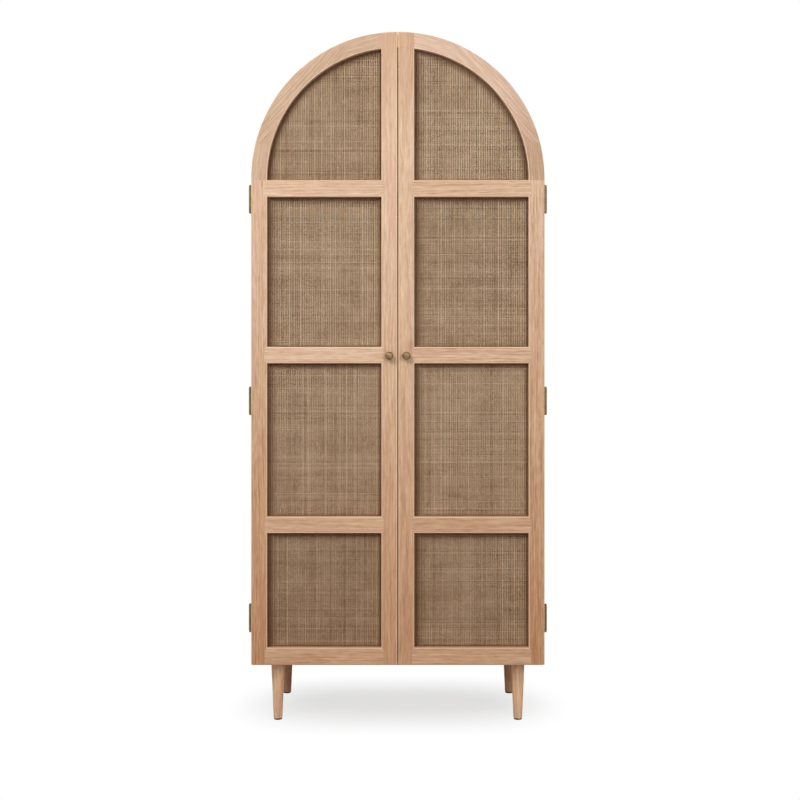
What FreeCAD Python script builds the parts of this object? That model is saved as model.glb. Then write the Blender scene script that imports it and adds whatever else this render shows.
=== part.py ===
import FreeCAD, Part
import math
import os

from FreeCAD import Vector

# Arched two-door wardrobe in millimetres. The front faces -Y, +Z is up, and the origin lies
# on the floor under the middle of the piece. Left and right are as seen from the front.

# Overall sizes
door_pair_width = 1016.0
overall_height = 2400.0
leg_height = 208.0
case_depth = 422.0

# Gaps round the doors, and how far the case reaches below them
door_gap = 2.0
centre_gap = 4.0
case_reveal = 1.5
case_drop = 8.0

# Door frames: the upper rail hangs from the springing line of the arch, and the shares place
# the middles of the two rails under it between the lower edge of the doors and that line
door_thickness = 27.0
stile_width = 55.0
rail_width = 57.0
bottom_rail_width = 59.0
lower_rail_share = 0.2874
middle_rail_share = 0.6366
upper_rail_drop = 35.0
sight_round = 3.0
mitre_reach = 8.0
edge_round = 2.0
rabbet_width = 8.0
rabbet_depth = 7.0
arch_joint_angles = (14.0, 68.0)

# Tenons of the door rails and arches
tenon_length = 25.0
tenon_thickness = 8.0
tenon_setback = 8.0
tenon_shoulder = 9.0
tenon_clearance = 0.1
arch_tenon_width = 14.0
arch_tenon_inset = 7.0

# Cane panes and the beads that hold them
cane_thickness = 1.5
cane_clearance = 0.5
bead_setback = 0.3

# Knobs and their screws
knob_reach = 25.0
knob_drop = 2.5
knob_radius = 14.25
knob_neck_radius = 5.5
knob_neck_height = 10.5
knob_rim_height = 3.0
knob_face_radius = 9.0
knob_bevel_height = 4.5
knob_screw_radius = 2.0
knob_screw_depth = 11.0
knob_screw_head_radius = 4.5
knob_screw_head_height = 2.4
knob_screw_clearance = 0.25

# Hinges: the lowest is placed from the lower edge of the doors, the highest from the springing
# line, and the share places the middle one between them
low_hinge_rise = 157.0
high_hinge_drop = 69.0
middle_hinge_share = 0.5185
leaf_height = 89.0
leaf_width = 34.0
leaf_thickness = 2.2
leaf_gap = 0.3
leaf_clearance = 0.1
barrel_radius = 5.5
barrel_clearance = 0.3
knuckle_count = 3
knuckle_gap = 0.4
pin_radius = 2.4
pin_clearance = 0.05
pin_tip_radius = 4.5
pin_tip_height = 5.0

# Case
panel_thickness = 20.0
frame_thickness = 20.0
frame_member_width = 55.0
frame_bottom_rail_width = 54.5
tongue_clearance = 0.4
tongue_setback = 1.0
tongue_inset = 3.0
floor_thickness = 22.0
housing_depth = 6.0
housing_clearance = 0.1
back_thickness = 6.0
back_rebate_width = 10.0
back_rebate_depth = 8.0
back_clearance = 0.5

# Fixed shelf, wall rail and clothes rail
top_shelf_thickness = 20.0
wall_rail_thickness = 18.0
wall_rail_width = 80.0
wall_hole_spacing = 600.0
wall_hole_radius = 3.5
clothes_rail_radius = 12.5
clothes_rail_wall = 1.5
clothes_rail_drop = 60.0
socket_flange_radius = 27.0
socket_flange_thickness = 3.0
socket_collar_wall = 3.0
socket_collar_length = 14.0
socket_clearance = 0.1

# Adjustable shelf, its pins and the rows of holes for them
shelf_thickness = 20.0
shelf_end_clearance = 1.0
shelf_edge_clearance = 2.0
shelf_seat_clearance = 0.2
shelf_pin_radius = 2.5
shelf_pin_reach = 9.0
shelf_hole_depth = 10.0
shelf_hole_clearance = 0.05
shelf_hole_pitch = 32.0
shelf_holes_below = 1
shelf_holes_above = 1
shelf_row_inset = 40.0

# Magnetic catches and the plates that they hold
catch_width = 36.0
catch_height = 13.0
catch_length = 30.0
catch_offset = 28.0
catch_clearance = 0.3
pole_thickness = 1.6
pole_spacing = 6.0
pole_inset = 6.0
pole_reach = 1.0
strike_thickness = 1.2

# Legs, their bolts and corner blocks, and the glides under them
leg_side_inset = 86.0
leg_end_inset = 43.0
leg_top_radius = 24.0
leg_tip_radius = 15.25
glide_radius = 14.0
glide_thickness = 5.0
corner_block_width = 90.0
corner_block_depth = 68.0
leg_bolt_radius = 4.0
leg_bolt_length = 54.0
leg_bolt_rise = 20.0
leg_bolt_clearance = 0.1

# One overrun carries every cut clear of the piece that it opens
overrun = 5.0

# Depths, from the knobs back
total_depth = knob_reach + door_thickness + door_gap + case_depth
door_front_y = knob_reach - total_depth / 2
door_back_y = door_front_y + door_thickness
case_front_y = door_back_y + door_gap
frame_back_y = case_front_y + frame_thickness
case_back_y = case_front_y + case_depth
back_seat_y = case_back_y - back_rebate_depth

# Heights and half widths
door_radius = door_pair_width / 2
spring_z = overall_height - door_radius
case_radius = door_radius - case_reveal
case_bottom_z = leg_height - case_drop
inner_half = case_radius - panel_thickness
frame_inner_radius = case_radius - frame_member_width
floor_top_z = case_bottom_z + frame_bottom_rail_width
floor_bottom_z = floor_top_z - floor_thickness

# Sight lines of the left door
sight_radius = door_radius - stile_width
sight_left = -sight_radius
meeting_edge = -centre_gap / 2
sight_right = meeting_edge - stile_width
bottom_rail_top = leg_height + bottom_rail_width
straight_height = spring_z - leg_height
lower_rail_z = leg_height + straight_height * lower_rail_share
middle_rail_z = leg_height + straight_height * middle_rail_share
upper_rail_z = spring_z - upper_rail_drop
arch_joint_z = upper_rail_z + rail_width / 2
rail_spans = {
    "lower_rail": (lower_rail_z - rail_width / 2, lower_rail_z + rail_width / 2),
    "middle_rail": (middle_rail_z - rail_width / 2, middle_rail_z + rail_width / 2),
    "upper_rail": (upper_rail_z - rail_width / 2, arch_joint_z),
}
pane_spans = {
    "lower": (bottom_rail_top, rail_spans["lower_rail"][0]),
    "middle": (rail_spans["lower_rail"][1], rail_spans["middle_rail"][0]),
    "upper": (rail_spans["middle_rail"][1], rail_spans["upper_rail"][0]),
    "arch": (arch_joint_z, None),
}
tenon_front_y = door_front_y + tenon_setback
tenon_back_y = tenon_front_y + tenon_thickness
cane_front_y = door_back_y - rabbet_depth
cane_back_y = cane_front_y + cane_thickness

# Places of the shelves, the rails and the hinge axis
top_shelf_bottom_z = upper_rail_z - top_shelf_thickness / 2
top_shelf_top_z = top_shelf_bottom_z + top_shelf_thickness
shelf_bottom_z = lower_rail_z - shelf_thickness / 2
shelf_pin_z = shelf_bottom_z - shelf_seat_clearance - shelf_pin_radius
wall_rail_y = back_seat_y - wall_rail_thickness
clothes_rail_y = (frame_back_y + wall_rail_y) / 2
clothes_rail_z = top_shelf_bottom_z - clothes_rail_drop
wall_rail_z = top_shelf_bottom_z - wall_rail_width / 2
hinge_x = -door_radius - barrel_clearance - barrel_radius
hinge_y = door_back_y + door_gap / 2
low_hinge_z = leg_height + low_hinge_rise
high_hinge_z = spring_z - high_hinge_drop
hinge_levels = (
    low_hinge_z,
    low_hinge_z + (high_hinge_z - low_hinge_z) * middle_hinge_share,
    high_hinge_z,
)
leaf_start_x = hinge_x + barrel_radius + knuckle_gap
knob_x = meeting_edge - stile_width / 2
knob_z = middle_rail_z - knob_drop
leg_x = -door_radius + leg_side_inset
leg_places = {
    "front": (case_front_y + leg_end_inset, frame_back_y),
    "rear": (case_back_y - leg_end_inset, back_seat_y - corner_block_depth),
}

UP = Vector(0, 0, 1)
RIGHT = Vector(1, 0, 0)
BACK = Vector(0, 1, 0)


def block(x0, x1, y0, y1, z0, z1):
    """A box between two corners."""
    return Part.makeBox(x1 - x0, y1 - y0, z1 - z0, Vector(x0, y0, z0))


def outline(points):
    """Closed straight edges in the front plane, from pairs of x and z."""
    corners = [Vector(x, 0, z) for x, z in points]
    following = corners[1:] + corners[:1]
    return [Part.LineSegment(a, b).toShape() for a, b in zip(corners, following)]


def prism(edges, y0, y1):
    """The solid behind a closed outline, between two depths."""
    face = Part.Face(Part.Wire(edges))
    face.translate(Vector(0, y0, 0))
    return face.extrude(Vector(0, y1 - y0, 0))


def arch_point(radius, angle):
    """A point at this angle above the left end of the springing line."""
    return Vector(-radius * math.cos(angle), 0, spring_z + radius * math.sin(angle))


def arch_edge(radius, angle0, angle1):
    """Part of an arch about the middle of the springing line."""
    middle = arch_point(radius, (angle0 + angle1) / 2)
    return Part.Arc(arch_point(radius, angle0), middle, arch_point(radius, angle1)).toShape()


def half_arch_outline(radius, right_x, bottom_z):
    """Outline with an upright left side, a quarter arch above it and an upright right side."""
    end_angle = math.acos(-right_x / radius)
    top = arch_point(radius, end_angle)
    corners = [top, Vector(right_x, 0, bottom_z), Vector(-radius, 0, bottom_z), arch_point(radius, 0)]
    edges = [Part.LineSegment(a, b).toShape() for a, b in zip(corners, corners[1:])]
    return [arch_edge(radius, 0, end_angle)] + edges


def full_arch_outline(radius, bottom_z):
    """Outline of upright sides under a half round."""
    corners = [
        arch_point(radius, math.pi),
        Vector(radius, 0, bottom_z),
        Vector(-radius, 0, bottom_z),
        arch_point(radius, 0),
    ]
    edges = [Part.LineSegment(a, b).toShape() for a, b in zip(corners, corners[1:])]
    return [arch_edge(radius, 0, math.pi)] + edges


def ring_outline(inner_radius, outer_radius, angle1):
    """Outline of an arch member from the left end of the springing line to this angle."""
    return [
        arch_edge(outer_radius, 0, angle1),
        Part.LineSegment(arch_point(outer_radius, angle1), arch_point(inner_radius, angle1)).toShape(),
        arch_edge(inner_radius, angle1, 0),
        Part.LineSegment(arch_point(inner_radius, 0), arch_point(outer_radius, 0)).toShape(),
    ]


def turned(points, centre, axis):
    """A turned solid about an axis through centre, from pairs of radius and distance along it."""
    corners = [Vector(radius, 0, along) for radius, along in points]
    following = corners[1:] + corners[:1]
    edges = [Part.LineSegment(a, b).toShape() for a, b in zip(corners, following)]
    solid = Part.Face(Part.Wire(edges)).revolve(Vector(0, 0, 0), UP, 360)
    solid.Placement = FreeCAD.Placement(centre, FreeCAD.Rotation(UP, axis))
    return solid


def mirrored(shape):
    """The same piece on the other side of the middle."""
    return shape.mirror(Vector(0, 0, 0), RIGHT)


def front_edges(shape, inner):
    """Edges of the front face of a door: those round its openings, or those round its outside."""
    front = min(shape.Faces, key=lambda face: face.CenterOfMass.y)
    wires = [wire for wire in front.Wires if wire.isSame(front.OuterWire) != inner]
    return [edge for wire in wires for edge in wire.Edges]


def pane_outline(span, grow):
    """Outline of one opening in the left door, moved outward on every side by grow."""
    bottom, top = span
    if top is None:
        return half_arch_outline(sight_radius + grow, sight_right + grow, bottom - grow)
    x0 = sight_left - grow
    x1 = sight_right + grow
    return outline([(x0, bottom - grow), (x1, bottom - grow), (x1, top + grow), (x0, top + grow)])


def door_blank():
    """The left door as one piece: arched outline, openings, rounded edges and rear rabbets."""
    blank = prism(half_arch_outline(door_radius, meeting_edge, leg_height), door_front_y, door_back_y)
    blank = blank.makeChamfer(edge_round, front_edges(blank, False))
    for span in pane_spans.values():
        blank = blank.cut(prism(pane_outline(span, 0), door_front_y - overrun, door_back_y + overrun))
        rabbet = prism(pane_outline(span, rabbet_width), cane_front_y, door_back_y + overrun)
        blank = blank.cut(rabbet)
    return blank.makeFillet(sight_round, front_edges(blank, True))


def rail_region(bottom, top):
    """Space of a cross rail: it ends behind the edges of the stiles, with mitred corners."""
    shoulder_left = sight_left - mitre_reach
    shoulder_right = sight_right + mitre_reach
    points = [
        (sight_left, bottom - overrun),
        (sight_right, bottom - overrun),
        (sight_right, bottom),
        (shoulder_right, bottom + mitre_reach),
        (shoulder_right, top - mitre_reach),
        (sight_right, top),
        (sight_right, top + overrun),
        (sight_left, top + overrun),
        (sight_left, top),
        (shoulder_left, top - mitre_reach),
        (shoulder_left, bottom + mitre_reach),
        (sight_left, bottom),
    ]
    return prism(outline(points), door_front_y - overrun, door_back_y + overrun)


def bottom_rail_region():
    """Space of the bottom rail, which runs down to the lower edge of the door."""
    shoulder_left = sight_left - mitre_reach
    shoulder_right = sight_right + mitre_reach
    points = [
        (shoulder_left, leg_height - overrun),
        (shoulder_right, leg_height - overrun),
        (shoulder_right, bottom_rail_top - mitre_reach),
        (sight_right, bottom_rail_top),
        (sight_right, bottom_rail_top + overrun),
        (sight_left, bottom_rail_top + overrun),
        (sight_left, bottom_rail_top),
        (shoulder_left, bottom_rail_top - mitre_reach),
    ]
    return prism(outline(points), door_front_y - overrun, door_back_y + overrun)


def rail_tenons(bottom, top, grow):
    """The tenons at both ends of a rail, or with grow the mortises for them."""
    left_end = sight_left - mitre_reach
    right_end = sight_right + mitre_reach
    low = bottom + tenon_shoulder - grow
    high = top - tenon_shoulder + grow
    y0 = tenon_front_y - grow
    y1 = tenon_back_y + grow
    reach = tenon_length + grow
    left = block(left_end - reach, left_end, y0, y1, low, high)
    right = block(right_end, right_end + reach, y0, y1, low, high)
    return [left, right]


def arch_tenons(grow):
    """The tenon into the top of the outer stile and the one into the meeting stile."""
    y0 = tenon_front_y - grow
    y1 = tenon_back_y + grow
    reach = tenon_length + grow
    x0 = -door_radius + arch_tenon_inset
    foot = block(x0 - grow, x0 + arch_tenon_width + grow, y0, y1, arch_joint_z - reach, arch_joint_z)
    low = spring_z + math.sqrt(sight_radius**2 - sight_right**2) + tenon_shoulder
    high = spring_z + math.sqrt(door_radius**2 - sight_right**2) - tenon_shoulder
    head = block(sight_right, sight_right + reach, y0, y1, low - grow, high + grow)
    return [foot, head]


def arch_wedge(angle0, angle1):
    """A wedge about the middle of the springing line that parts one piece of the arch from the next."""
    reach = door_radius * 2
    corners = [Vector(0, 0, spring_z)]
    for angle in (angle0, (angle0 + angle1) / 2, angle1):
        corners.append(arch_point(reach, math.radians(angle)))
    points = [(corner.x, corner.z) for corner in corners]
    return prism(outline(points), door_front_y - overrun, door_back_y + overrun)


def door_frame():
    """The members of the left door, cut from its blank along the real joints."""
    blank = door_blank()
    depth = (door_front_y - overrun, door_back_y + overrun)
    regions = {"bottom_rail": bottom_rail_region()}
    tenons = {"bottom_rail": rail_tenons(leg_height, bottom_rail_top, 0)}
    mortises = rail_tenons(leg_height, bottom_rail_top, tenon_clearance)
    for name, (bottom, top) in rail_spans.items():
        regions[name] = rail_region(bottom, top)
        tenons[name] = rail_tenons(bottom, top, 0)
        mortises += rail_tenons(bottom, top, tenon_clearance)
    members = {}
    for name, region in regions.items():
        members[name] = blank.common(region).fuse(tenons[name]).removeSplitter()
    members["middle_rail"] = members["middle_rail"].cut(knob_screw_hole())

    edge = -door_radius - overrun
    high = overall_height + overrun
    arch_region = block(edge, sight_right, *depth, arch_joint_z, high)
    # The arch is cut above the topmost rail, so only its own quarter round is left
    arch = blank.common(arch_region)
    lower_angle, upper_angle = arch_joint_angles
    foot_tenon, head_tenon = arch_tenons(0)
    springing = arch.common(arch_wedge(-lower_angle, lower_angle)).fuse(foot_tenon)
    shoulder = arch.common(arch_wedge(lower_angle, upper_angle))
    crown = arch.common(arch_wedge(upper_angle, 2 * upper_angle)).fuse(head_tenon)
    pieces = [springing.removeSplitter(), shoulder, crown.removeSplitter()]
    members["arch_rail"] = Part.makeCompound(pieces)

    mortises += arch_tenons(tenon_clearance)
    taken = list(regions.values()) + [arch_region] + mortises
    middle_x = (sight_left + sight_right) / 2
    low = leg_height - overrun
    outer = blank.common(block(edge, middle_x, *depth, low, high))
    meeting = blank.common(block(middle_x, 0, *depth, low, high))
    outer = outer.cut(taken + hinge_mortises(door_back_y - door_gap, door_back_y + overrun, -1))
    meeting = meeting.cut(taken + [knob_screw_hole()])
    members["outer_stile"] = outer
    members["meeting_stile"] = meeting
    return members


def cane_pane(span):
    """One sheet of woven cane, lying against the front of its rabbet."""
    return prism(pane_outline(span, rabbet_width - cane_clearance), cane_front_y, cane_back_y)


def cane_beads():
    """The strips that hold every pane of one door in its rabbet."""
    strips = []
    y0 = cane_back_y
    y1 = door_back_y - bead_setback
    grow = rabbet_width - cane_clearance
    for bottom, top in pane_spans.values():
        outer = prism(pane_outline((bottom, top), grow), y0, y1)
        ring = outer.cut(prism(pane_outline((bottom, top), 0), y0 - overrun, y1 + overrun))
        low = bottom - grow - overrun
        high = overall_height if top is None else top + grow + overrun
        left = block(-door_radius, sight_right, y0, y1, bottom, high)
        right = block(sight_right, 0, y0, y1, low, high)
        foot = block(-door_radius, sight_right, y0, y1, low, bottom)
        if top is not None:
            head = block(sight_left, sight_right, y0, y1, top, high)
            left = block(-door_radius, sight_left, y0, y1, bottom, high)
            strips.append(ring.common(head))
        strips += [ring.common(part) for part in (left, right, foot)]
    return Part.makeCompound([solid for strip in strips for solid in strip.Solids])


def knob():
    """A turned knob: straight neck, flared rim and bevelled face, bored for its screw."""
    rim_top = knob_reach - knob_bevel_height
    points = [
        (0, 0),
        (knob_neck_radius, 0),
        (knob_neck_radius, knob_neck_height),
        (knob_radius, rim_top - knob_rim_height),
        (knob_radius, rim_top),
        (knob_face_radius, knob_reach),
        (0, knob_reach),
    ]
    solid = turned(points, Vector(knob_x, door_front_y, knob_z), -BACK)
    return solid.cut(knob_screw())


def knob_screw():
    """The screw that holds a knob from inside the door."""
    start = Vector(knob_x, door_front_y - knob_screw_depth, knob_z)
    shank = Part.makeCylinder(knob_screw_radius, knob_screw_depth + door_thickness, start, BACK)
    seat = Vector(knob_x, door_back_y, knob_z)
    head = Part.makeCylinder(knob_screw_head_radius, knob_screw_head_height, seat, BACK)
    return shank.fuse(head).removeSplitter()


def knob_screw_hole():
    """The hole through the meeting stile for the screw of its knob."""
    start = Vector(knob_x, door_front_y - overrun, knob_z)
    radius = knob_screw_radius + knob_screw_clearance
    return Part.makeCylinder(radius, door_thickness + 2 * overrun, start, BACK)


def strike_plate():
    """The steel plate on the back of the meeting stile, level with the catch."""
    x0 = -catch_offset - catch_width / 2
    z0 = top_shelf_bottom_z - catch_height
    y1 = door_back_y + strike_thickness
    return block(x0, x0 + catch_width, door_back_y, y1, z0, top_shelf_bottom_z)


def hinge_mortises(y0, y1, side):
    """Shallow seats for the three leaves; side is -1 in a door back and 1 in the case front."""
    depth = leaf_thickness + leaf_gap / 2
    seat = hinge_y + side * depth
    cuts = []
    for level in hinge_levels:
        low = level - leaf_height / 2 - leaf_clearance
        high = level + leaf_height / 2 + leaf_clearance
        end = leaf_start_x + leaf_width + leaf_clearance
        front = seat if side < 0 else y0
        rear = y1 if side < 0 else seat
        cuts.append(block(-door_radius - overrun, end, front, rear, low, high))
    return cuts


def hinge_leaf(level, y0, y1, first):
    """A hinge leaf with every second knuckle, counted from first, round the pin's bore."""
    bottom = level - leaf_height / 2
    leaf = block(leaf_start_x, leaf_start_x + leaf_width, y0, y1, bottom, bottom + leaf_height)
    pitch = (leaf_height + knuckle_gap) / knuckle_count
    parts = []
    for index in range(first, knuckle_count, 2):
        low = bottom + index * pitch
        high = low + pitch - knuckle_gap
        parts.append(Part.makeCylinder(barrel_radius, high - low, Vector(hinge_x, hinge_y, low), UP))
        parts.append(block(hinge_x, leaf_start_x, y0, y1, low, high))
    leaf = leaf.fuse(parts)
    bore_start = Vector(hinge_x, hinge_y, bottom - overrun)
    bore = Part.makeCylinder(pin_radius + pin_clearance, leaf_height + 2 * overrun, bore_start, UP)
    return leaf.cut(bore).removeSplitter()


def hinge_leaves(side):
    """The three leaves on a door, side -1, or on the case, side 1."""
    near = hinge_y + side * leaf_gap / 2
    far = near + side * leaf_thickness
    first = 1 if side < 0 else 0
    leaves = [hinge_leaf(level, min(near, far), max(near, far), first) for level in hinge_levels]
    return Part.makeCompound(leaves)


def hinge_pins():
    """The three pins of one side, each with a button tip at both ends."""
    half = leaf_height / 2
    top = half + pin_tip_height
    points = [
        (0, -top),
        (pin_tip_radius, -top),
        (pin_tip_radius, -half),
        (pin_radius, -half),
        (pin_radius, half),
        (pin_tip_radius, half),
        (pin_tip_radius, top),
        (0, top),
    ]
    return Part.makeCompound([turned(points, Vector(hinge_x, hinge_y, z), UP) for z in hinge_levels])


def shelf_hole_rows():
    """Front and rear places of the shelf holes."""
    return [frame_back_y + shelf_row_inset, back_seat_y - shelf_row_inset]


def side_panel():
    """The left side: housings for the floor and the fixed shelf, rear rebate and shelf holes."""
    panel = block(-case_radius, -inner_half, frame_back_y, case_back_y, case_bottom_z, spring_z)
    deep = -inner_half - housing_depth
    open_x = -inner_half + overrun
    front = frame_back_y - overrun
    rear = case_back_y + overrun
    rebate_x = -inner_half - back_rebate_width
    shelf_seat_top = top_shelf_top_z + housing_clearance
    cuts = [
        block(deep, open_x, front, back_seat_y, floor_bottom_z, floor_top_z + housing_clearance),
        block(deep, open_x, front, back_seat_y, top_shelf_bottom_z, shelf_seat_top),
        block(rebate_x, open_x, back_seat_y, rear, case_bottom_z - overrun, spring_z + overrun),
    ]
    for y in shelf_hole_rows():
        for step in range(-shelf_holes_below, shelf_holes_above + 1):
            start = Vector(-inner_half - shelf_hole_depth, y, shelf_pin_z + step * shelf_hole_pitch)
            radius = shelf_pin_radius + shelf_hole_clearance
            cuts.append(Part.makeCylinder(radius, shelf_hole_depth + overrun, start, RIGHT))
    return panel.cut(cuts)


def arched_top():
    """The bent top of the case, a half round between the tops of the sides."""
    shell = prism(ring_outline(inner_half, case_radius, math.pi), frame_back_y, case_back_y)
    rebate_outline = full_arch_outline(inner_half + back_rebate_width, spring_z - overrun)
    return shell.cut(prism(rebate_outline, back_seat_y, case_back_y + overrun))


def floor_panel():
    """The floor of the case, housed in both sides."""
    half = inner_half + housing_depth - housing_clearance
    return block(-half, half, frame_back_y, back_seat_y, floor_bottom_z, floor_top_z)


def back_panel():
    """The thin arched back in its rebate, with the two holes for the wall screws."""
    radius = inner_half + back_rebate_width - back_clearance
    panel = prism(full_arch_outline(radius, case_bottom_z), back_seat_y, back_seat_y + back_thickness)
    return panel.cut(wall_holes())


def wall_holes():
    """The two holes through the wall rail and the back."""
    length = wall_rail_thickness + back_thickness + 2 * overrun
    start = Vector(-wall_hole_spacing / 2, wall_rail_y - overrun, wall_rail_z)
    hole = Part.makeCylinder(wall_hole_radius, length, start, BACK)
    return [hole, mirrored(hole)]


def wall_rail():
    """The stout rail under the fixed shelf through which the case is screwed to a wall."""
    low = top_shelf_bottom_z - wall_rail_width
    rail = block(-inner_half, inner_half, wall_rail_y, back_seat_y, low, top_shelf_bottom_z)
    return rail.cut(wall_holes())


def frame_tenon(grow):
    """The tenon at the left end of the bottom rail of the front frame."""
    third = frame_thickness / 3
    low = case_bottom_z + tenon_shoulder - grow
    high = floor_top_z - tenon_shoulder + grow
    x1 = -frame_inner_radius
    x0 = x1 - tenon_length - grow
    return block(x0, x1, case_front_y + third - grow, frame_back_y - third + grow, low, high)


def frame_stile():
    """The left upright of the front frame, with seats for the hinge leaves."""
    x1 = -frame_inner_radius
    stile = block(-case_radius, x1, case_front_y, frame_back_y, case_bottom_z, spring_z)
    cuts = hinge_mortises(case_front_y - overrun, case_front_y + overrun, 1)
    return stile.cut(cuts + [frame_tenon(tenon_clearance)])


def frame_arch():
    """The left half of the arch of the front frame."""
    return prism(ring_outline(frame_inner_radius, case_radius, math.pi / 2), case_front_y, frame_back_y)


def crown_tongue():
    """The strip on the crown of the front frame that stands between the heads of the doors."""
    half = centre_gap / 2 - tongue_clearance
    bottom_z = spring_z + frame_inner_radius + tongue_inset
    crown_z = spring_z + case_radius
    return block(-half, half, door_front_y + tongue_setback, case_front_y, bottom_z, crown_z)


def frame_bottom_rail():
    """The rail across the foot of the front frame, tenoned into both uprights."""
    half = frame_inner_radius
    rail = block(-half, half, case_front_y, frame_back_y, case_bottom_z, floor_top_z)
    tenon = frame_tenon(0)
    return rail.fuse([tenon, mirrored(tenon)]).removeSplitter()


def top_shelf():
    """The fixed shelf, housed in both sides, its front edge flush between the uprights."""
    half = inner_half + housing_depth - housing_clearance
    shelf = block(-half, half, frame_back_y, back_seat_y, top_shelf_bottom_z, top_shelf_top_z)
    half = frame_inner_radius - housing_clearance
    nose = block(-half, half, case_front_y, frame_back_y, top_shelf_bottom_z, top_shelf_top_z)
    return shelf.fuse(nose).removeSplitter()


def clothes_rail():
    """The tube for hangers, seated on the flanges of its sockets."""
    half = inner_half - socket_flange_thickness
    start = Vector(-half, clothes_rail_y, clothes_rail_z)
    tube = Part.makeCylinder(clothes_rail_radius, 2 * half, start, RIGHT)
    bore_radius = clothes_rail_radius - clothes_rail_wall
    bore_length = 2 * (half + overrun)
    bore = Part.makeCylinder(bore_radius, bore_length, start - RIGHT * overrun, RIGHT)
    return tube.cut(bore)


def rail_socket():
    """The left socket: a round flange on the side with a collar round the end of the tube."""
    bore_radius = clothes_rail_radius + socket_clearance
    collar_radius = bore_radius + socket_collar_wall
    collar_end = socket_flange_thickness + socket_collar_length
    points = [
        (0, 0),
        (socket_flange_radius, 0),
        (socket_flange_radius, socket_flange_thickness),
        (collar_radius, socket_flange_thickness),
        (collar_radius, collar_end),
        (bore_radius, collar_end),
        (bore_radius, socket_flange_thickness),
        (0, socket_flange_thickness),
    ]
    return turned(points, Vector(-inner_half, clothes_rail_y, clothes_rail_z), RIGHT)


def shelf_pins():
    """The four pins that carry the adjustable shelf."""
    pins = []
    for y in shelf_hole_rows():
        start = Vector(-inner_half - shelf_hole_depth, y, shelf_pin_z)
        pin = Part.makeCylinder(shelf_pin_radius, shelf_hole_depth + shelf_pin_reach, start, RIGHT)
        pins += [pin, mirrored(pin)]
    return Part.makeCompound(pins)


def adjustable_shelf():
    """The loose shelf, which lifts off its pins."""
    half = inner_half - shelf_end_clearance
    y0 = frame_back_y + shelf_edge_clearance
    y1 = back_seat_y - shelf_edge_clearance
    return block(-half, half, y0, y1, shelf_bottom_z, shelf_bottom_z + shelf_thickness)


def door_catch():
    """The left magnetic catch under the fixed shelf: a case with two pole plates at its mouth."""
    x0 = -catch_offset - catch_width / 2
    z0 = top_shelf_bottom_z - catch_height
    mouth = door_back_y + strike_thickness + catch_clearance
    rear = mouth + catch_length
    body = block(x0, x0 + catch_width, mouth + pole_reach, rear, z0, top_shelf_bottom_z)
    for side in (-1, 1):
        low = z0 + (catch_height + side * pole_spacing - pole_thickness) / 2
        high = low + pole_thickness
        pole = block(x0 + pole_inset, x0 + catch_width - pole_inset, mouth, rear, low, high)
        body = body.fuse(pole)
    return body.removeSplitter()


def leg_pair(row):
    """Two turned legs with a straight taper, each bored in its top for the bolt."""
    y = leg_places[row][0]
    foot = Vector(leg_x, y, glide_thickness)
    height = case_bottom_z - glide_thickness
    leg = Part.makeCone(leg_tip_radius, leg_top_radius, height, foot, UP)
    leg = leg.cut(leg_bolt(y, leg_bolt_clearance))
    return Part.makeCompound([leg, mirrored(leg)])


def leg_bolt(y, grow):
    """The bolt between a leg and the case, or the hole for it, wider by grow and as deep."""
    start = Vector(leg_x, y, case_bottom_z + leg_bolt_rise - leg_bolt_length)
    return Part.makeCylinder(leg_bolt_radius + grow, leg_bolt_length, start, UP)


def leg_bolts():
    """The bolts of all four legs."""
    bolts = [leg_bolt(y, 0) for y, block_y in leg_places.values()]
    return Part.makeCompound(bolts + [mirrored(bolt) for bolt in bolts])


def corner_blocks():
    """The four blocks under the floor that the legs are bolted to."""
    blocks = []
    x0 = leg_x - corner_block_width / 2
    x1 = x0 + corner_block_width
    for y, y0 in leg_places.values():
        piece = block(x0, x1, y0, y0 + corner_block_depth, case_bottom_z, floor_bottom_z)
        piece = piece.cut(leg_bolt(y, leg_bolt_clearance))
        blocks += [piece, mirrored(piece)]
    return Part.makeCompound(blocks)


def leg_glides():
    """The four round glides that the legs stand on."""
    glides = [
        Part.makeCylinder(glide_radius, glide_thickness, Vector(leg_x, y, 0), UP)
        for y, block_y in leg_places.values()
    ]
    return Part.makeCompound(glides + [mirrored(glide) for glide in glides])


def door_nodes():
    """Every piece of the left door by name."""
    nodes = door_frame()
    for name, span in pane_spans.items():
        nodes[name + "_cane"] = cane_pane(span)
    nodes["cane_beads"] = cane_beads()
    nodes["knob"] = knob()
    nodes["knob_screw"] = knob_screw()
    nodes["strike_plate"] = strike_plate()
    nodes["hinge_leaves"] = hinge_leaves(-1)
    return nodes


def case_nodes():
    """Every piece of the case by name."""
    nodes = {
        "arched_top": arched_top(),
        "floor_panel": floor_panel(),
        "back_panel": back_panel(),
        "wall_rail": wall_rail(),
        "frame_bottom_rail": frame_bottom_rail(),
        "crown_tongue": crown_tongue(),
        "top_shelf": top_shelf(),
        "clothes_rail": clothes_rail(),
        "rail_sockets": Part.makeCompound([rail_socket(), mirrored(rail_socket())]),
        "shelf_pins": shelf_pins(),
        "adjustable_shelf": adjustable_shelf(),
        "door_catches": Part.makeCompound([door_catch(), mirrored(door_catch())]),
        "corner_blocks": corner_blocks(),
        "leg_bolts": leg_bolts(),
        "front_legs": leg_pair("front"),
        "rear_legs": leg_pair("rear"),
        "leg_glides": leg_glides(),
    }
    pairs = {
        "side_panel": side_panel(),
        "frame_stile": frame_stile(),
        "frame_arch": frame_arch(),
        "case_hinge_leaves": hinge_leaves(1),
        "hinge_pins": hinge_pins(),
    }
    for name, shape in pairs.items():
        nodes["left_" + name] = shape
        nodes["right_" + name] = mirrored(shape)
    return nodes


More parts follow.
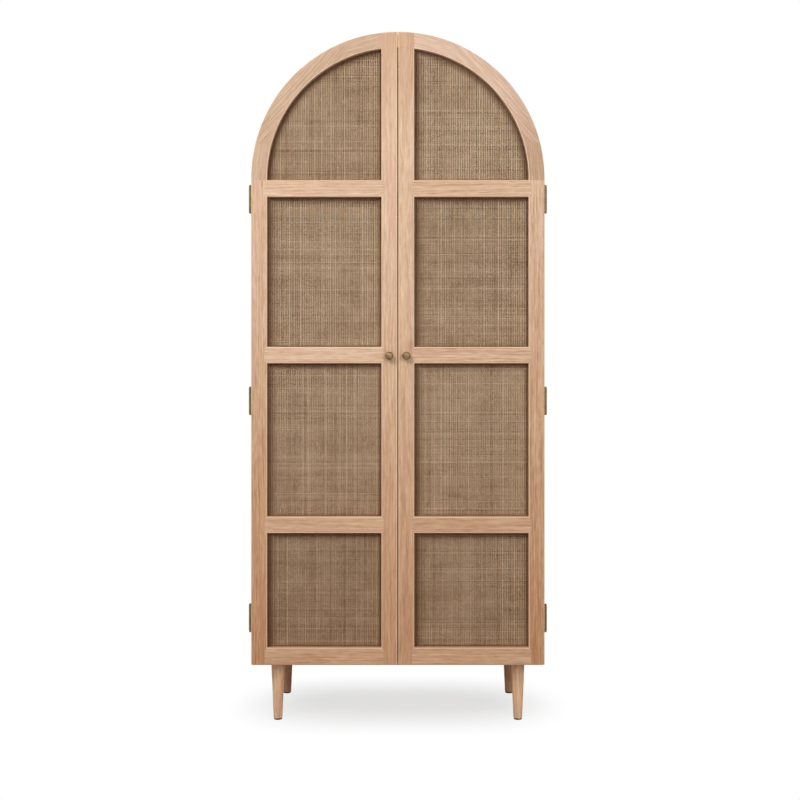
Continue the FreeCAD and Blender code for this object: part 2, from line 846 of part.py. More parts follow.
all_nodes = case_nodes()
for name, shape in door_nodes().items():
    all_nodes["left_door_" + name] = shape
    all_nodes["right_door_" + name] = mirrored(shape)

os.makedirs("parts", exist_ok=True)
for name, shape in all_nodes.items():
    shape.exportStep("parts/" + name + ".step")
print(len(all_nodes), "nodes")
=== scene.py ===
import math

import bpy
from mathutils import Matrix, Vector


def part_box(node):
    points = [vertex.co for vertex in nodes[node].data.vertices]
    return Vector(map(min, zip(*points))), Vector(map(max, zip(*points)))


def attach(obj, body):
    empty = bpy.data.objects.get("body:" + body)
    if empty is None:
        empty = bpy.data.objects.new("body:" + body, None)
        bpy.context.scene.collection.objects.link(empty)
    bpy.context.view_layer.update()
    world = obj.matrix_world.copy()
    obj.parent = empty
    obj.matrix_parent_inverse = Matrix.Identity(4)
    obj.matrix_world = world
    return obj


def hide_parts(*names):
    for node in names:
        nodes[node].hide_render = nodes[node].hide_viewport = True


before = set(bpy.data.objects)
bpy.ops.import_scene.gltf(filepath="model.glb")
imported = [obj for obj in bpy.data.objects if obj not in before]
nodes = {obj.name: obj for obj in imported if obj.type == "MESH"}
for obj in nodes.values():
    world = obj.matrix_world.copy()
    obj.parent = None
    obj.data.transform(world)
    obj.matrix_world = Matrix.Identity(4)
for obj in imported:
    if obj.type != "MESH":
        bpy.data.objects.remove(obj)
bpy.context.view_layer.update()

# Oak boards
# The case, the door frames and the legs are solid pale oak, bleached and matt lacquered. Every
# board has its own log, so its rings, pores and tone differ from its neighbour's. Painted shade
# makes them darker towards the foot and at the crown, and a painted highlight, partly wear,
# lightens their rounded front edges.


class Wire:
    """One output of a node; arithmetic on it adds the nodes that do the sum."""

    def __init__(self, finish, socket):
        self.finish = finish
        self.socket = socket

    def maths(self, operation, first, second):
        return self.finish.add("Math", {"operation": operation}, {0: first, 1: second})

    def __add__(self, other):
        return self.maths("ADD", self, other)

    def __sub__(self, other):
        return self.maths("SUBTRACT", self, other)

    def __rsub__(self, other):
        return self.maths("SUBTRACT", other, self)

    def __mul__(self, other):
        return self.maths("MULTIPLY", self, other)

    def __truediv__(self, other):
        return self.maths("DIVIDE", self, other)

    def __rtruediv__(self, other):
        return self.maths("DIVIDE", other, self)

    def __gt__(self, other):
        return self.maths("GREATER_THAN", self, other)

    def __lt__(self, other):
        return self.maths("LESS_THAN", self, other)

    __radd__ = __add__
    __rmul__ = __mul__


class Nodes:
    """A tree of nodes; every node in it is made by add."""

    families = {}
    family = "ShaderNode"

    def add(self, kind, settings=None, values=None, output=0):
        """One node: its settings first, then its sockets, and the output that is used."""
        made = self.tree.nodes.new(self.families.get(kind, self.family) + kind)
        for key, value in (settings or {}).items():
            if key == "stops":
                ramp = made.color_ramp.elements
                while len(ramp) < len(value):
                    ramp.new(1)
                for stop, (place, colour) in zip(ramp, value):
                    stop.position = place
                    stop.color = (*colour, 1)
            else:
                setattr(made, key, value)
        for key, value in (values or {}).items():
            if isinstance(value, Wire):
                self.tree.links.new(value.socket, made.inputs[key])
            else:
                made.inputs[key].default_value = value
        return Wire(self, made.outputs[output]) if made.outputs else None

    def number(self, operation, *values):
        return self.add("Math", {"operation": operation}, dict(enumerate(values)))

    def vector(self, x, y, z):
        return self.add("CombineXYZ", values={0: x, 1: y, 2: z})


class Finish(Nodes):
    """The nodes of one material."""

    def __init__(self, name):
        self.material = bpy.data.materials.new(name)
        self.material.use_nodes = True
        self.tree = self.material.node_tree
        self.tree.nodes.clear()

    def here(self):
        """Object coordinates, in metres."""
        return self.add("TexCoord", output="Object")

    def place(self):
        """Object coordinates as three numbers."""
        here = self.here()
        return [self.add("SeparateXYZ", values={0: here}, output=axis) for axis in range(3)]

    def attribute(self, name):
        return self.add("Attribute", {"attribute_name": name}, output="Fac")

    def noise(self, where, scale=1.0, detail=2.0, roughness=0.5):
        values = {"Vector": where, "Scale": scale, "Detail": detail, "Roughness": roughness}
        return self.add("TexNoise", values=values)

    def grain(self, board, across, along, detail=2.0, roughness=0.5, start=0):
        """Noise drawn out along a board, with so many cells a metre across it and along it."""
        wide, deep, long = board
        run = long * along + start if start else long * along
        where = self.vector(wide * across, deep * across, run)
        return self.noise(where, 1, detail, roughness)

    def span(self, value, low, high):
        """Where value lies between low and high, from 0 to 1."""
        settings = {"interpolation_type": "SMOOTHSTEP"}
        return self.add("MapRange", settings, {0: value, 1: low, 2: high})

    def mix(self, share, first, second, blend="MIX"):
        settings = {"data_type": "RGBA", "blend_type": blend}
        return self.add("Mix", settings, {0: share, 6: first, 7: second}, 2)

    def ramp(self, value, stops):
        return self.add("ValToRGB", {"stops": stops}, {0: value})

    def bump(self, height, distance, strength):
        values = {"Height": height, "Distance": distance, "Strength": strength}
        return self.add("Bump", values=values)

    def close(self, **sockets):
        """The surface of the material, from sockets of the main shader by name."""
        values = {name.replace("_", " "): value for name, value in sockets.items()}
        shader = self.add("BsdfPrincipled", values=values)
        self.add("OutputMaterial", values={"Surface": shader})
        return self.material


def colour(red, green, blue):
    """A screen colour from 0 to 255 as light."""
    parts = [value / 255 for value in (red, green, blue)]
    return tuple(v / 12.92 if v <= 0.04045 else ((v + 0.055) / 1.055) ** 2.4 for v in parts)


oak_light = colour(238, 209, 182)
oak_middle = colour(221, 187, 158)
oak_dark = colour(192, 152, 119)
oak_pore = colour(148, 107, 77)
oak_pink = colour(217, 173, 150)
oak_straw = colour(229, 195, 157)
# A warm brown: its ratio to the middle oak darkens the boards towards the foot as painted shade,
# and it tints the back board evenly
oak_warm_brown = colour(198, 144, 102)
# Painted shade at the crown
oak_crown_shade = colour(190, 148, 118)
# Painted highlight, partly wear, on the rounded front edges
oak_wear_and_highlight = colour(252, 220, 184)
# Painted shade towards the foot
oak_foot_shade = tuple(old / new for old, new in zip(oak_warm_brown, oak_middle))
lacquer_sheen = 0.05
ring_rate = 700
ring_wander = 0.030
fibre_share, streak_share, fleck_share = 0.38, 0.88, 0.84
ring_share, slow_share, figure_level = 0.18, 0.34, 0.26
pink_share, straw_share = 0.60, 0.50
pore_low, pore_high, pore_share = 0.60, 0.70, 0.40
pale_stop, middle_stop, dark_stop = 0.18, 0.50, 0.86
# Painted shade: the boards turn darker and warmer from this height down to the foot
foot_shade_top, foot_shade_bottom = 1.9, 0.1
# Painted shade: darker from this height up to the crown
crown_shade_low, crown_shade_high = 1.90, 2.40
spring_z = 1.892
bend_radius = 0.5
arch_cuts = (math.radians(14), math.radians(68))
arch_lays = (math.radians(7), math.radians(42), math.radians(74))
arch_shifts = (0.7, 0.4)
arch_fade_reach = 0.80
# Painted highlight, partly wear of the lacquer, along the meeting edges of the doors
meeting_wear_and_highlight = (0.0068, 0.0038)
meeting_wear_and_highlight_share = 0.40


def board_lay(finish, lay, x, y, z, side):
    """How far along a board, across it and into it a point lies."""
    if lay == "Z":
        return z, x, y
    if lay == "X":
        return x, z, y
    rise = z - spring_z
    if lay == "bent":
        turn = finish.number("ARCTAN2", rise, x)
        radius = finish.number("SQRT", rise * rise + x * x)
        return turn * bend_radius, y, radius
    # The three boards of an arch, each straight along its own part of the bow
    out = x * side
    turn = finish.number("ARCTAN2", rise, out)
    above = [turn > cut for cut in arch_cuts]
    first, second, third = arch_lays
    angle = above[0] * (second - first) + above[1] * (third - second) + first
    sine = finish.number("SINE", angle)
    cosine = finish.number("COSINE", angle)
    along = z * cosine - out * sine
    across = out * cosine + z * sine + above[0] * arch_shifts[0] + above[1] * arch_shifts[1]
    return along, across, y


def oak(
    name,
    lay,
    log,
    tone=0.0,
    side=-1,
    foot_shade=0.5,
    edge_wear_and_highlight=0.9,
    crown=0.0,
    figured=1.0,
    pale=oak_light,
    wash=None,
    fade=0.0,
):
    """Oak with its grain along X or Z, along the three boards of an arch, or round a bend."""
    finish = Finish(name)
    x, y, z = finish.place()
    along, across, depth = board_lay(finish, lay, x, y, z, side)
    shade = tone
    if fade:
        turn = finish.number("ARCTAN2", z - spring_z, x * side)
        shade = finish.span(turn, arch_fade_reach, 0.0) * -fade + tone
    # The log's number sets where the board was cut from it, and how far from its pith
    shift = (log * 0.377) % 3.0
    pith = 0.06 + 0.05 * math.sin(log * 2.3)
    centre = shift + 0.09 * math.cos(log * 1.7) + (0.5 if lay == "X" else 0.0)
    across = across + shift
    along = along + log * 1.7
    board = (across, depth, along)
    wander = finish.noise(finish.vector(across * 14, depth * 20, along * 2.2))
    ring = (across - centre) * (across - centre) + (depth + pith) * (depth + pith)
    ring = finish.number("SQRT", ring) + wander * ring_wander
    rings = finish.number("SINE", ring * ring_rate) * 0.5 + 0.5
    fibre = finish.grain(board, 700, 14, 3, 0.6)
    streak = finish.grain(board, 120, 5, 3, 0.6)
    fleck = finish.grain(board, 210, 24)
    hue = finish.grain(board, 46, 3.2, start=log)
    slow = finish.grain(board, 9, 1.3, start=log)
    pores = finish.grain(board, 1900, 75, 1)
    pore = finish.span(pores + rings * -0.05, pore_low, pore_high)
    figure = fibre * fibre_share + streak * streak_share + fleck * fleck_share
    figure = figure - (fibre_share + streak_share + fleck_share) / 2
    figure = figure * figured + rings * ring_share + slow * slow_share + figure_level - shade
    stops = [(pale_stop, pale), (middle_stop, oak_middle), (dark_stop, oak_dark)]
    base = finish.ramp(figure, stops)
    pink = finish.span(hue, 0.50, 0.68) * (pink_share * figured)
    base = finish.mix(pink, base, (*oak_pink, 1))
    straw = finish.span(hue, 0.46, 0.30) * (straw_share * figured)
    base = finish.mix(straw, base, (*oak_straw, 1))
    # Painted shade, darker and warmer towards the foot
    low = finish.span(z, foot_shade_top, foot_shade_bottom) * foot_shade
    base = finish.mix(low, base, (*oak_foot_shade, 1), "MULTIPLY")
    # Painted shade at the crown, where crown is set
    base = finish.mix(finish.span(z, crown_shade_low, crown_shade_high) * crown, base, (*oak_crown_shade, 1))
    base = finish.mix(pore * pore_share, base, (*oak_pore, 1))
    if wash:
        base = finish.mix(1.0, base, (*wash, 1), "MULTIPLY")
    # The rounded front edges, which face half forward, are painted pale, partly as wear and partly
    # as a painted highlight; where crown is set, the same painted highlight runs along the meeting
    # edge
    facing = finish.add("TexCoord", output="Normal")
    facing = finish.add("SeparateXYZ", values={0: facing}, output=1) * -1
    wear_and_highlight = finish.span(facing, 0.55, 0.75) * finish.span(facing, 0.998, 0.97)
    if crown:
        meeting = finish.span(x * side, *meeting_wear_and_highlight) * meeting_wear_and_highlight_share
        wear_and_highlight = finish.number("MAXIMUM", wear_and_highlight, meeting)
    base = finish.mix(wear_and_highlight * edge_wear_and_highlight, base, (*oak_wear_and_highlight, 1))
    rough = 0.62 + fibre * 0.14 + pore * 0.15
    relief = finish.bump(fibre * 0.4 + streak * 0.3 - pore, 0.00014, 0.6)
    return finish.close(
        Base_Color=base,
        Roughness=rough,
        Specular_IOR_Level=lacquer_sheen,
        Normal=relief,
    )


def dress(node, material):
    """Gives a carried-over solid its finish."""
    slots = nodes[node].data.materials
    slots.clear()
    slots.append(material)


# How each board of the case lies, its log and its tone
case_boards = {
    "left_side_panel": ("Z", 3, 0.02),
    "right_side_panel": ("Z", 5, 0.02),
    "floor_panel": ("X", 7, 0.0),
    "wall_rail": ("X", 9, 0.0),
    "frame_bottom_rail": ("X", 11, 0.02),
    "top_shelf": ("X", 13, 0.03),
    "adjustable_shelf": ("X", 15, 0.0),
    "left_frame_stile": ("Z", 17, 0.02),
    "right_frame_stile": ("Z", 19, 0.0),
    "corner_blocks": ("X", 21, -0.06),
}
for name, (lay, log, tone) in case_boards.items():
    figured = 0.55 if name.endswith("side_panel") else 1.0
    dress(name, oak("oak_" + name, lay, log, tone, figured=figured))
# Painted light: the front legs are a paler oak, standing in for light, and the rear legs a darker
# one, as painted shade
lit_legs = oak("oak_front_legs_lit", "Z", 23, 0.28, foot_shade=0.26, edge_wear_and_highlight=0.0, pale=colour(255, 216, 176))
dress("front_legs", lit_legs)
dress("rear_legs", oak("oak_rear_legs_shaded", "Z", 25, -0.14, foot_shade=0.60, edge_wear_and_highlight=0.0))
dress("crown_tongue", oak("oak_crown_tongue", "Z", 33, -0.1, foot_shade=0.0))
for name, side in (("left_frame_arch", -1), ("right_frame_arch", 1)):
    dress(name, oak("oak_" + name, "arch", 27 + side, 0.02, side))
dress("arched_top", oak("oak_arched_top", "bent", 31, 0.02, figured=0.55))

# Door frames
# Each door has two stiles, four rails and an arch of three boards, in the same oak as the case.
# They are tenoned into each other, and their rounded sight edges meet at mitres.
door_boards = {
    # lay, tone on the left and on the right door, painted shade low down, painted shade at the
    # crown, figure
    "bottom_rail": ("X", 0.02, 0.02, 0.5, 0.0, 1.0),
    "lower_rail": ("X", 0.15, 0.02, 0.5, 0.0, 0.9),
    "middle_rail": ("X", 0.14, 0.02, 0.5, 0.0, 1.0),
    "upper_rail": ("X", 0.0, -0.05, 0.5, 0.0, 0.75),
    "outer_stile": ("Z", -0.02, -0.08, 0.8, 0.0, 1.1),
    "meeting_stile": ("Z", 0.04, 0.0, 0.7, 0.45, 0.9),
    "arch_rail": ("arch", -0.06, 0.0, 0.5, 0.0, 0.6),
}
arch_washes = {-1: (0.87, 0.89, 0.92), 1: (0.98, 1.02, 1.11)}
arch_fades = {-1: 0.0, 1: 0.34}
for side, door in ((-1, "left_door_"), (1, "right_door_")):
    for number, (name, board) in enumerate(door_boards.items()):
        lay, left_tone, right_tone, foot_shade, crown, figured = board
        tone = left_tone if side < 0 else right_tone
        log = 40 + 2.7 * number + 9 * side
        extra = {}
        if lay == "arch":
            extra = {"wash": arch_washes[side], "fade": arch_fades[side]}
        made = oak("oak_" + door + name, lay, log, tone, side, foot_shade, 0.9, crown, figured, **extra)
        dress(door + name, made)
    dress(door + "cane_beads", oak("oak_" + door + "beads", "Z", 70 + side, 0.0))

# Back board
# A thin board with an oak veneer, whose leaves are matched side by side. It lies in a rebate of
# the sides and of the bent top, and is screwed on from behind.
leaves_a_metre = 4
veneer_ageing = 0.35


def veneer(name):
    finish = Finish(name)
    x, y, z = finish.place()
    leaf = finish.number("FLOOR", x * leaves_a_metre + 50)
    where = finish.vector(x * 60 + leaf * 7.3, y * 60, z * 1.1)
    streak = finish.noise(where, 1, 4, 0.6)
    fibre = finish.grain((x, y, z), 800, 16)
    leaf_tone = finish.add("TexWhiteNoise", {"noise_dimensions": "1D"}, {"W": leaf})
    figure = streak * 0.7 + fibre * 0.3 + leaf_tone * 0.12 - 0.06
    stops = [(0.25, oak_light), (0.52, oak_middle), (0.80, oak_dark)]
    base = finish.ramp(figure, stops)
    base = finish.mix(veneer_ageing, base, (*oak_warm_brown, 1))
    return finish.close(
        Base_Color=base,
        Roughness=0.55 + fibre * 0.2,
        Specular_IOR_Level=lacquer_sheen,
        Normal=finish.bump(fibre, 0.0001, 0.5),
    )


dress("back_panel", veneer("back_veneer"))

# Cane panes
# Split cane strands in pairs, woven over and under into stiff grey-brown sheets, with a few
# strands lighter or darker than the rest. The edges are caught in the rabbets of the frames.
# Shade is painted on: along the edges, widest on the left, on the wefts, and darker and warmer
# towards the foot.
strand_pitch = 0.0040
stake_width = 0.0027
weft_width = 0.0020
strand_height = 0.00075
strand_lift = 0.00036
stake_pull = 0.00074
weft_pull = 0.00024
strand_jitter = 0.00026
pair_jitter = 0.00042
strand_swell = (0.72, 1.14)
hidden_edge = 0.0075
# Painted shade along the pane's edges, wider and darker from the left edge as a painted shadow
rim_shade_reach = 0.034
left_shade_reach = 0.045
left_shade_share = 0.86
rim_shade_share, sheet_share = 0.78, 0.22
ridge_share = 0.6
# How much faster the painted shade ends from the right edge and from the bottom
right_shade_speed, low_shade_speed = 1.6, 2.2
far_away = 9.0
# Painted shade: the cane turns darker and warmer towards the foot
cane_foot_shade = (0.57, 0.33, 0.16)
cane_foot_shade_share = 0.34
sheet_brown = colour(150, 96, 54)
# The brown of the painted shade along the pane's edges
rim_shade_brown = colour(94, 44, 8)


class Loom(Nodes):
    """The nodes of one Geometry Nodes tree."""

    families = {
        "Math": "ShaderNode",
        "CombineXYZ": "ShaderNode",
        "SeparateXYZ": "ShaderNode",
        "RandomValue": "FunctionNode",
        "AlignRotationToVector": "FunctionNode",
    }
    family = "GeometryNode"

    def __init__(self, name):
        self.tree = bpy.data.node_groups.new(name, "GeometryNodeTree")
        face = self.tree.interface
        face.new_socket("Geometry", in_out="OUTPUT", socket_type="NodeSocketGeometry")
        self.inputs = {}
        self.entry = self.tree.nodes.new("NodeGroupInput")

    def size(self, name, kind="Float"):
        """A named input of the tree."""
        face = self.tree.interface
        made = face.new_socket(name, in_out="INPUT", socket_type="NodeSocket" + kind)
        self.inputs[name] = made.identifier
        return Wire(self, self.entry.outputs[name])

    def draw(self, low, high, number, seed):
        """A random value between low and high for each number."""
        values = {2: low, 3: high, "ID": number, "Seed": seed}
        return self.add("RandomValue", {"data_type": "FLOAT"}, values, 1)

    def store(self, geometry, name, value, domain="POINT"):
        settings = {"data_type": "FLOAT", "domain": domain}
        values = {"Geometry": geometry, "Name": name, "Value": value}
        return self.add("StoreNamedAttribute", settings, values)

    def finish(self, geometry, material):
        joined = self.add("RealizeInstances", values={0: geometry})
        coated = self.add("SetMaterial", values={"Geometry": joined, "Material": material})
        end = self.tree.nodes.new("NodeGroupOutput")
        self.tree.links.new(coated.socket, end.inputs[0])

    def join(self, parts):
        both = self.tree.nodes.new("GeometryNodeJoinGeometry")
        for part in parts:
            self.tree.links.new(part.socket, both.inputs[0])
        return Wire(self, both.outputs[0])

    def make(self, name, sizes, start=None):
        """A mesh object from the tree with these sizes, which may start from a mesh."""
        piece = bpy.data.objects.new(name, start or bpy.data.meshes.new(name))
        bpy.context.scene.collection.objects.link(piece)
        modifier = piece.modifiers.new("loom", "NODES")
        modifier.node_group = self.tree
        for key, value in sizes.items():
            modifier[self.inputs[key]] = value
        bpy.context.view_layer.update()
        shaped = piece.evaluated_get(bpy.context.evaluated_depsgraph_get())
        mesh = bpy.data.meshes.new_from_object(shaped)
        coats = [coat for coat in mesh.materials if coat]
        mesh.materials.clear()
        mesh.materials.append(coats[0])
        mesh.polygons.foreach_set("material_index", [0] * len(mesh.polygons))
        piece.modifiers.clear()
        piece.data = mesh
        mesh.name = name
        return piece


def cane_finish():
    """Cane by strand: a strand's way is 0 where it stands and 1 where it lies."""
    finish = Finish("woven_cane")
    x, y, z = finish.place()
    tone = finish.attribute("strand_tone")
    way = finish.attribute("strand_way")
    along = z + way * (x - z)
    across = x + way * (z - x)
    where = finish.vector(along * 55, across * 900, tone * 40)
    skin = finish.noise(where, 1, 3, 0.6)
    knots = finish.noise(finish.vector(along * 150, across * 30, tone * 61 + 5), 1, 1)
    drift = finish.noise(finish.vector(along * 22, across * 60, tone * 25 + 3), 1, 2)
    patch = finish.noise(finish.vector(x * 11, y, z * 17), 1, 3)
    rim = finish.attribute("rim")
    sheet = finish.attribute("sheet_shade")
    odd = finish.span(tone, 0.84, 0.98) - finish.span(tone, 0.14, 0.02) * 0.5
    figure = tone * 0.14 + odd * 0.20 + skin * 0.24 + knots * 0.62 + drift * 0.36 + patch * 0.34
    # Painted shade: the wefts are made darker than the stakes
    figure = figure - way * 0.10 - 0.28 - sheet
    stops = [
        (0.10, colour(116, 88, 62)),
        (0.40, colour(198, 168, 136)),
        (0.62, colour(228, 200, 168)),
        (0.90, colour(254, 232, 202)),
    ]
    base = finish.ramp(figure, stops)
    # Painted shade, darker and warmer towards the foot
    low = finish.span(z, foot_shade_top, foot_shade_bottom) * cane_foot_shade_share
    base = finish.mix(low, base, (*cane_foot_shade, 1), "MULTIPLY")
    base = finish.mix(finish.span(sheet, 0, 0.2) * sheet_share, base, (*sheet_brown, 1))
    # Painted shade along the pane's edges
    base = finish.mix(finish.span(rim, 0, 1) * rim_shade_share, base, (*rim_shade_brown, 1))
    return finish.close(
        Base_Color=base,
        Roughness=0.50 + skin * 0.25,
        Specular_IOR_Level=0.10,
        Normal=finish.bump(skin, 0.0002, 0.6),
    )


def by_way(way, across, along):
    """What goes across and along the strands of a way, in the order X and Z."""
    return (across, along) if way == 0 else (along, across)


def straight_strands(loom, way, left, right, bottom, top, pitch):
    """Strands with a point at every crossing; also the first one and the steps between them."""
    across_ends, along_ends = by_way(way, (left, right), (bottom, top))
    count = loom.number("ROUND", (across_ends[1] - across_ends[0]) / pitch)
    points = loom.number("ROUND", (along_ends[1] - along_ends[0]) / pitch)
    strand_step = (across_ends[1] - across_ends[0]) / count
    point_step = (along_ends[1] - along_ends[0]) / points
    across0 = across_ends[0] + strand_step * 0.5
    along0 = along_ends[0] + point_step * 0.5
    origin = loom.vector(*by_way(way, across0, along0), 0.0)
    step = loom.vector(*by_way(way, strand_step, 0.0), 0.0)
    reach = loom.vector(*by_way(way, 0.0, point_step * (points - 1)), 0.0)
    values = {"Count": count, "Start Location": origin, "Offset": step}
    row = loom.add("MeshLine", values=values)
    line = loom.add("CurvePrimitiveLine", values={"Start": (0, 0, 0), "End": reach})
    line = loom.add("ResampleCurve", values={"Curve": line, "Count": points})
    laid = loom.add("InstanceOnPoints", values={"Points": row, "Instance": line})
    laid = loom.add("RealizeInstances", values={0: laid})
    return laid, (across0, along0), (strand_step, point_step)


def strand_section(loom, width, height):
    """A triangle with a flat side as wide as the strand, and a ridge."""
    section = loom.add("CurvePrimitiveCircle", values={"Resolution": 3, "Radius": 1.0})
    corner = loom.add("InputIndex")
    foot_left = loom.number("COMPARE", corner, 0.0, 0.1)
    foot_right = loom.number("COMPARE", corner, 1.0, 0.1)
    x = foot_left * width * -0.5 + foot_right * width * 0.5
    y = height * ridge_share - (foot_left + foot_right) * height
    values = {"Geometry": section, "Position": loom.vector(x, y, 0.0)}
    return loom.add("SetPosition", values=values)


def weave_loom():
    """Strands in pairs, over and under: way 0 lays the standing stakes and way 1 the wefts.

    The sheet is woven lying down, with its height along the second axis, and then stood up.
    """
    loom = Loom("cane_weave")
    left = loom.size("Left")
    right = loom.size("Right")
    bottom = loom.size("Bottom")
    top = loom.size("Top")
    face_y = loom.size("Face depth")
    radius = loom.size("Arch radius")
    pitch = loom.size("Pitch")
    widths = (loom.size("Stake width"), loom.size("Weft width"))
    height = loom.size("Strand height")
    lift = loom.size("Lift")
    pulls = (loom.size("Stake pull"), loom.size("Weft pull"))
    hidden = loom.size("Hidden edge")
    rim_shade_width = loom.size("Rim reach")
    left_reach = loom.size("Left rim reach")
    shade = loom.size("Sheet shade")
    seed = loom.size("Seed", "Int")
    coat = loom.size("Finish", "Material")

    # How far inside the pane's edges a point lies, which sets the painted shade there; from the
    # left edge it reaches further, as a painted shadow
    spot = loom.add("InputPosition")
    px = loom.add("SeparateXYZ", values={0: spot}, output=0)
    pz = loom.add("SeparateXYZ", values={0: spot}, output=1)
    above_spring = pz - spring_z
    from_centre = loom.number("SQRT", px * px + above_spring * above_spring)
    outside = (from_centre > radius) * (pz > spring_z) * (radius > 0)
    inward = radius - from_centre + (radius < 0.001) * far_away + (pz < spring_z) * far_away
    edges = ((right - px) * right_shade_speed, (pz - bottom) * low_shade_speed, top - pz)
    for edge_reach in edges:
        inward = loom.number("MINIMUM", inward, edge_reach)
    rim = loom.number("MINIMUM", 1.0 - (inward - hidden) / rim_shade_width, 1.0)
    left_rim_shade = (1.0 - (px - left - hidden) / left_reach) * left_shade_share
    left_rim_shade = loom.number("MINIMUM", left_rim_shade, left_shade_share)
    rim = loom.number("MAXIMUM", loom.number("MAXIMUM", rim, left_rim_shade), 0.0)

    sheets = []
    for way in (0, 1):
        laid, first, step = straight_strands(loom, way, left, right, bottom, top, pitch)
        values = {"Geometry": laid, "Selection": outside}
        laid = loom.add("DeleteGeometry", {"domain": "POINT"}, values)
        # Over one strand and under the next, drawn together in pairs and a little uneven
        across, along = by_way(way, px, pz)
        strand = loom.number("ROUND", (across - first[0]) / step[0])
        crossing = loom.number("ROUND", (along - first[1]) / step[1])
        odd = loom.number("FLOORED_MODULO", strand, 2.0)
        parity = loom.number("FLOORED_MODULO", strand + crossing, 2.0)
        cross_odd = loom.number("FLOORED_MODULO", crossing, 2.0)
        sign = 1 if way == 0 else -1
        rise = (parity * 2 - 1) * lift * sign
        way_seed = seed + 11 * way
        pair = loom.number("FLOOR", strand * 0.5)
        jitter = loom.draw(-strand_jitter, strand_jitter, strand, way_seed)
        tone = loom.draw(0.0, 1.0, strand, way_seed + 3)
        swell = loom.draw(*strand_swell, strand, way_seed + 5)
        pair_shift = loom.draw(-pair_jitter, pair_jitter, pair, way_seed + 7)
        side_step = (1 - odd * 2) * pulls[way] + jitter + pair_shift
        forward_step = (1 - cross_odd * 2) * pulls[1 - way]
        move = loom.vector(*by_way(way, side_step, forward_step), rise)
        laid = loom.add("SetPosition", values={"Geometry": laid, "Offset": move})
        laid = loom.add("SetCurveNormal", {"mode": "Z_UP"}, {"Curve": laid})
        laid = loom.add("SetCurveRadius", values={"Curve": laid, "Radius": swell})
        laid = loom.store(laid, "strand_tone", tone)
        laid = loom.store(laid, "strand_way", float(way))
        laid = loom.store(laid, "rim", rim)
        laid = loom.store(laid, "sheet_shade", shade)
        section = strand_section(loom, widths[way], height)
        values = {"Curve": laid, "Profile Curve": section, "Fill Caps": True}
        sheets.append(loom.add("CurveToMesh", values=values))
    values = {"Geometry": loom.join(sheets), "Rotation": (math.pi / 2, 0, 0)}
    values["Translation"] = loom.vector(0.0, face_y, 0.0)
    stood = loom.add("Transform", values=values)
    loom.finish(stood, coat)
    return loom


weaver = weave_loom()
cane = cane_finish()
# How dark the sheet of each pane is, on the left and on the right door
pane_shades = {
    "lower": (0.06, 0.02),
    "middle": (0.03, 0.02),
    "upper": (0.05, 0.07),
    "arch": (0.08, 0.04),
}
for side, door in ((-1, "left_door"), (1, "right_door")):
    for number, (pane, shades) in enumerate(pane_shades.items()):
        node = f"{door}_{pane}_cane"
        low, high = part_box(node)
        sizes = {
            "Left": low.x,
            "Right": high.x,
            "Bottom": low.z,
            "Top": high.z,
            "Face depth": (low.y + high.y) / 2,
            "Arch radius": max(abs(low.x), abs(high.x)) if pane == "arch" else 0.0,
            "Pitch": strand_pitch,
            "Stake width": stake_width,
            "Weft width": weft_width,
            "Strand height": strand_height,
            "Lift": strand_lift,
            "Stake pull": stake_pull,
            "Weft pull": weft_pull,
            "Hidden edge": hidden_edge,
            "Rim reach": rim_shade_reach,
            "Left rim reach": left_shade_reach,
            "Sheet shade": shades[side > 0],
            "Seed": 100 + 10 * number + side,
            "Finish": cane,
        }
        sheet = weaver.make(node.replace("_cane", "_weave"), sizes)
        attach(sheet, door)
        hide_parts(node)

# Brass knobs and hinges
# Turned and cast brass with a dull brown patina that is rubbed lighter on the high places. A
# knob is a slim neck under a round head with a domed face, held by a screw from behind.
knob_turning = (
    # radius, and how far out of the door it lies
    (0.0074, 0.0),
    (0.0074, 0.0012),
    (0.0061, 0.0026),
    (0.0055, 0.0050),
    (0.0055, 0.0092),
    (0.0062, 0.0112),
    (0.0088, 0.0132),
    (0.0120, 0.0146),
    (0.0136, 0.0157),
)
dome_radius = 0.01425
dome_foot = 0.0172
dome_steps = 14
knob_sides = 64
# Painted shade: how dark the slots of the screws are
slot_shade_darkness = 0.12


def metal(name, dark, light, rough, metallic=1.0):
    """Metal that is lighter in patches of wear, with painted shade nearly black in the slots of its
    screws.
    """
    finish = Finish(name)
    here = finish.here()
    cloud = finish.noise(here, 70, 5, 0.7)
    speck = finish.noise(here, 900, 2, 0.6)
    rub = finish.span(cloud, 0.28, 0.74)
    base = finish.mix(rub, (*dark, 1), (*light, 1))
    base = finish.mix(finish.span(speck, 0.55, 0.75) * 0.25, base, (*dark, 1))
    # Painted shade in the slots of the screws, nearly black
    recess = finish.attribute("recess")
    black = tuple(value * slot_shade_darkness for value in dark)
    base = finish.mix(recess * 0.85, base, (*black, 1))
    return finish.close(
        Base_Color=base,
        Metallic=metallic,
        Roughness=rough + 0.16 * cloud,
        Normal=finish.bump(speck, 0.00006, 0.5),
    )


